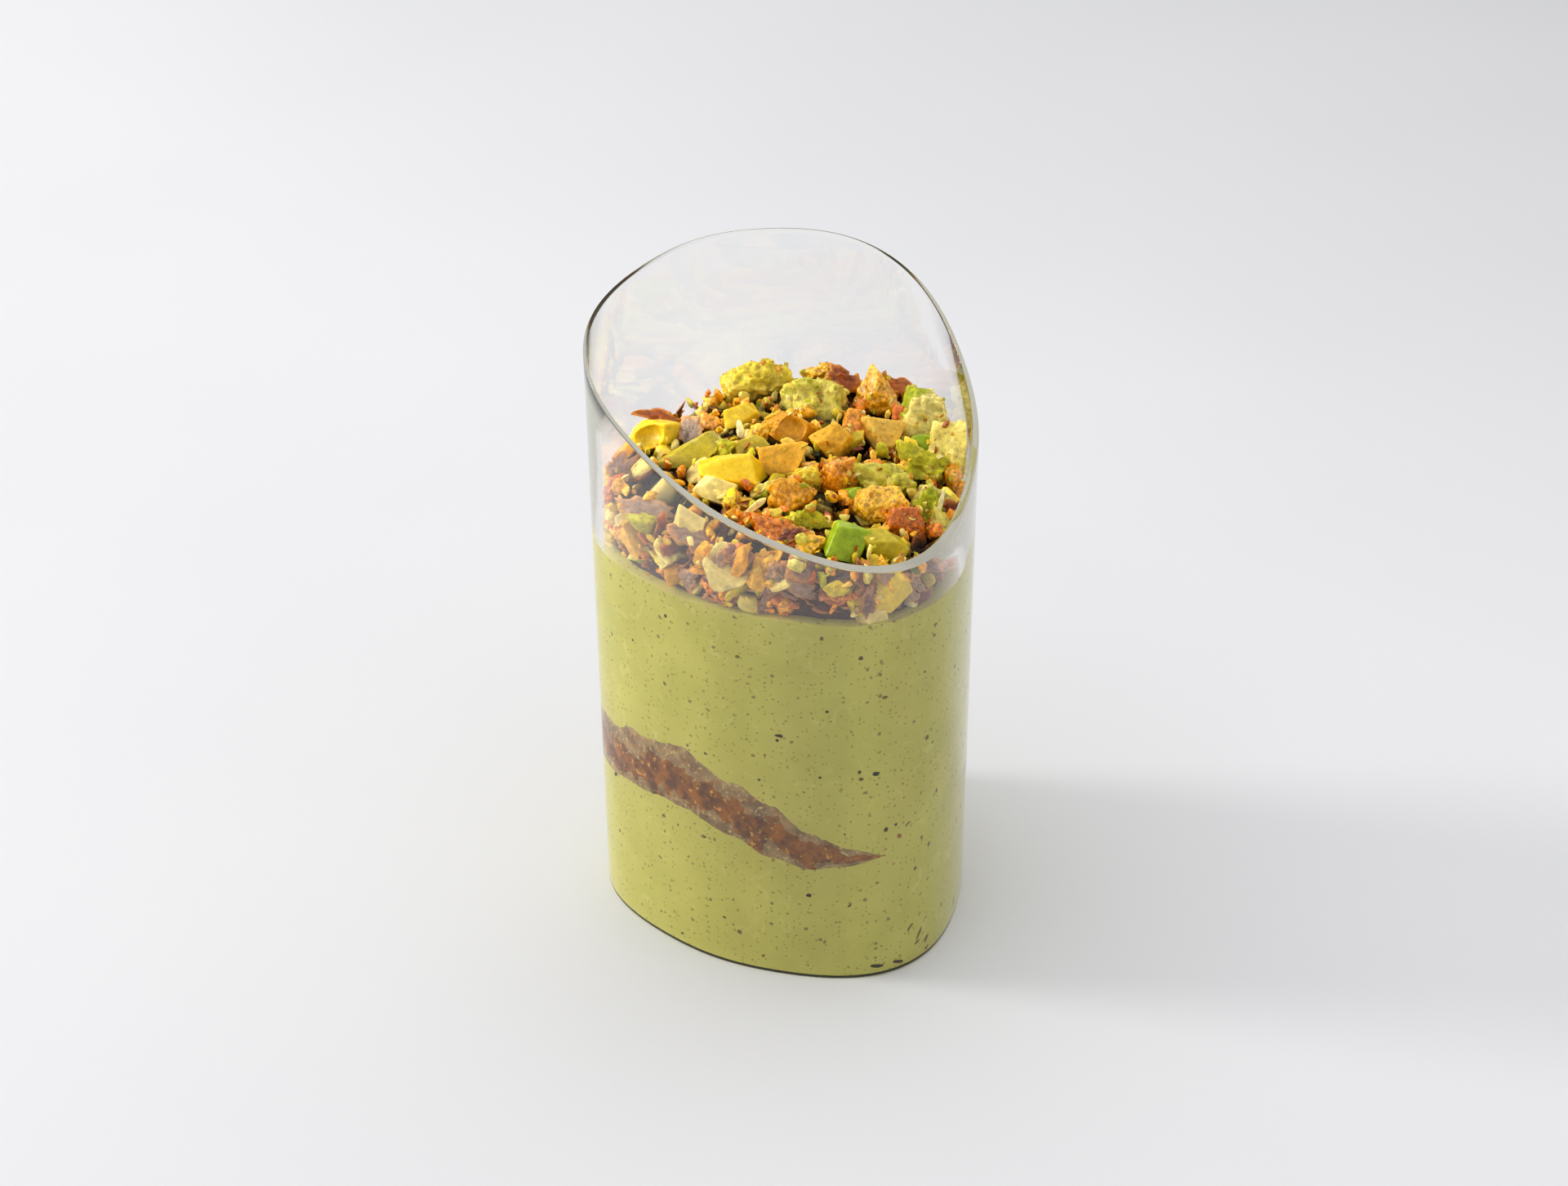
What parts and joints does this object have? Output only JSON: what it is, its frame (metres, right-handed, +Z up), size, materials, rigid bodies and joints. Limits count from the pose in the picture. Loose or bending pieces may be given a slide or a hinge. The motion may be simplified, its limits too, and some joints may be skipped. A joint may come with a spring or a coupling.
{
  "type": "gelato cup",
  "caption": "Clear slant-cut cup with a rounded three-cornered section, filled with pistachio cream, a praline layer at the wall and a heap of chopped nuts on top",
  "frame": {"origin": "centre of the cup's underside, on the axis of its section", "axes": "+Z up along the cup's axis; the low corner of the slanted mouth points to -Y and its high flat side to +Y"},
  "size_m": [0.0514, 0.0514, 0.0899],
  "materials": {
    "cup": "clear, polished",
    "cream": "smooth cream, fine dark specks",
    "praline_layer": "moist crumb",
    "chopped_nuts": "rough chopped kernels"
  },
  "bodies": {
    "root": {"cup": "cup", "cream": "cream", "praline_layer": "praline_layer", "chopped_nuts": "chopped_nuts"}
  },
  "joints": []
}
